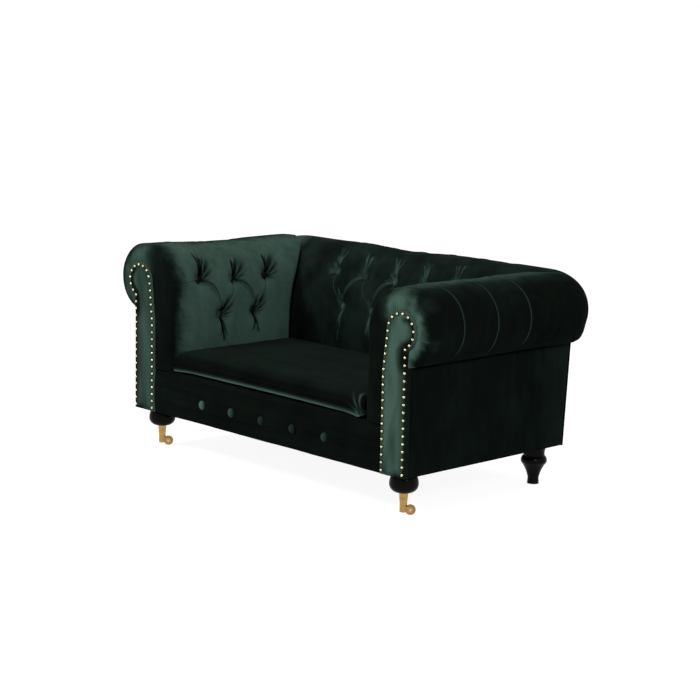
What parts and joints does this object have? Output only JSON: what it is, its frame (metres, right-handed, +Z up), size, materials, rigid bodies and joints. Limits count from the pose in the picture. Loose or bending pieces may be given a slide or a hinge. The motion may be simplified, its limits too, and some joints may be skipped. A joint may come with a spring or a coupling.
{
  "type": "sofa",
  "caption": "Small low-backed two-seat sofa with rolled arms, deep-buttoned velvet, nailed scroll facings, a loose seat cushion, turned feet and front castors.",
  "frame": {"origin": "on the floor, under the middle of the overall box", "axes": "+X to the right seen from the front, +Y to the back, +Z up"},
  "size_m": [1.008, 0.5638, 0.4703],
  "materials": {
    "velvet": "dark green cut velvet whose nap catches light",
    "timber": "sawn hardwood",
    "board": "plywood and hardboard",
    "webbing": "woven webbing",
    "deck_cloth": "dark cloth over a padded deck",
    "dust_cloth": "black non-woven cloth",
    "nail_brass": "lacquered brass",
    "foot_lacquer": "gloss black lacquer on turned wood",
    "castor_brass": "antique brass, satin",
    "wheel_brass": "dark antique brass",
    "steel": "bright steel"
  },
  "bodies": {
    "sofa": {"left_arm_pad": "velvet", "right_arm_pad": "velvet", "back_pad": "velvet", "left_outside_panel": "velvet", "right_outside_panel": "velvet", "outside_back_panel": "velvet", "left_facing": "velvet", "right_facing": "velvet", "front_rail_pad": "velvet", "left_arm_buttons": "velvet", "right_arm_buttons": "velvet", "back_buttons": "velvet", "front_rail_buttons": "velvet", "front_seat_rail": "timber", "rear_seat_rail": "timber", "left_seat_rail": "timber", "right_seat_rail": "timber", "seat_centre_rail": "timber", "corner_blocks": "timber", "left_arm_post": "timber", "right_arm_post": "timber", "left_rear_post": "timber", "right_rear_post": "timber", "left_arm_top_rail": "timber", "right_arm_top_rail": "timber", "back_top_rail": "timber", "left_arm_tack_rail": "timber", "right_arm_tack_rail": "timber", "back_tack_rail": "timber", "front_border_board": "board", "left_arm_liner": "board", "right_arm_liner": "board", "back_liner": "board", "seat_webbing_lengthwise": "webbing", "seat_webbing_crosswise": "webbing", "seat_deck_pad": "deck_cloth", "dust_cover": "dust_cloth", "left_facing_nails": "nail_brass", "right_facing_nails": "nail_brass", "left_front_foot": "foot_lacquer", "right_front_foot": "foot_lacquer", "left_rear_foot": "foot_lacquer", "right_rear_foot": "foot_lacquer", "left_castor_cup": "castor_brass", "right_castor_cup": "castor_brass", "foot_bolts": "steel", "left_castor_pivot": "steel", "right_castor_pivot": "steel"},
    "cushion": {"seat_cushion": "velvet"},
    "left_castor": {"left_castor_horn": "castor_brass", "left_castor_axle": "steel"},
    "left_wheel": {"left_castor_wheel": "wheel_brass"},
    "right_castor": {"right_castor_horn": "castor_brass", "right_castor_axle": "steel"},
    "right_wheel": {"right_castor_wheel": "wheel_brass"}
  },
  "joints": [
    {"name": "cushion_lift", "type": "slide", "parent": "sofa", "child": "cushion", "axis": [0, 0, 1], "range_m": [0, 0.32]},
    {"name": "left_castor_swivel", "type": "hinge", "parent": "sofa", "child": "left_castor", "pos_m": [-0.395, -0.232, 0.012], "axis": [0, 0, 1], "continuous": true},
    {"name": "right_castor_swivel", "type": "hinge", "parent": "sofa", "child": "right_castor", "pos_m": [0.395, -0.232, 0.012], "axis": [0, 0, 1], "continuous": true},
    {"name": "left_castor_roll", "type": "hinge", "parent": "left_castor", "child": "left_wheel", "pos_m": [-0.38475, -0.22175, 0.011], "axis": [-0.7071, 0.7071, 0], "continuous": true},
    {"name": "right_castor_roll", "type": "hinge", "parent": "right_castor", "child": "right_wheel", "pos_m": [0.40525, -0.22175, 0.011], "axis": [-0.7071, 0.7071, 0], "continuous": true}
  ]
}
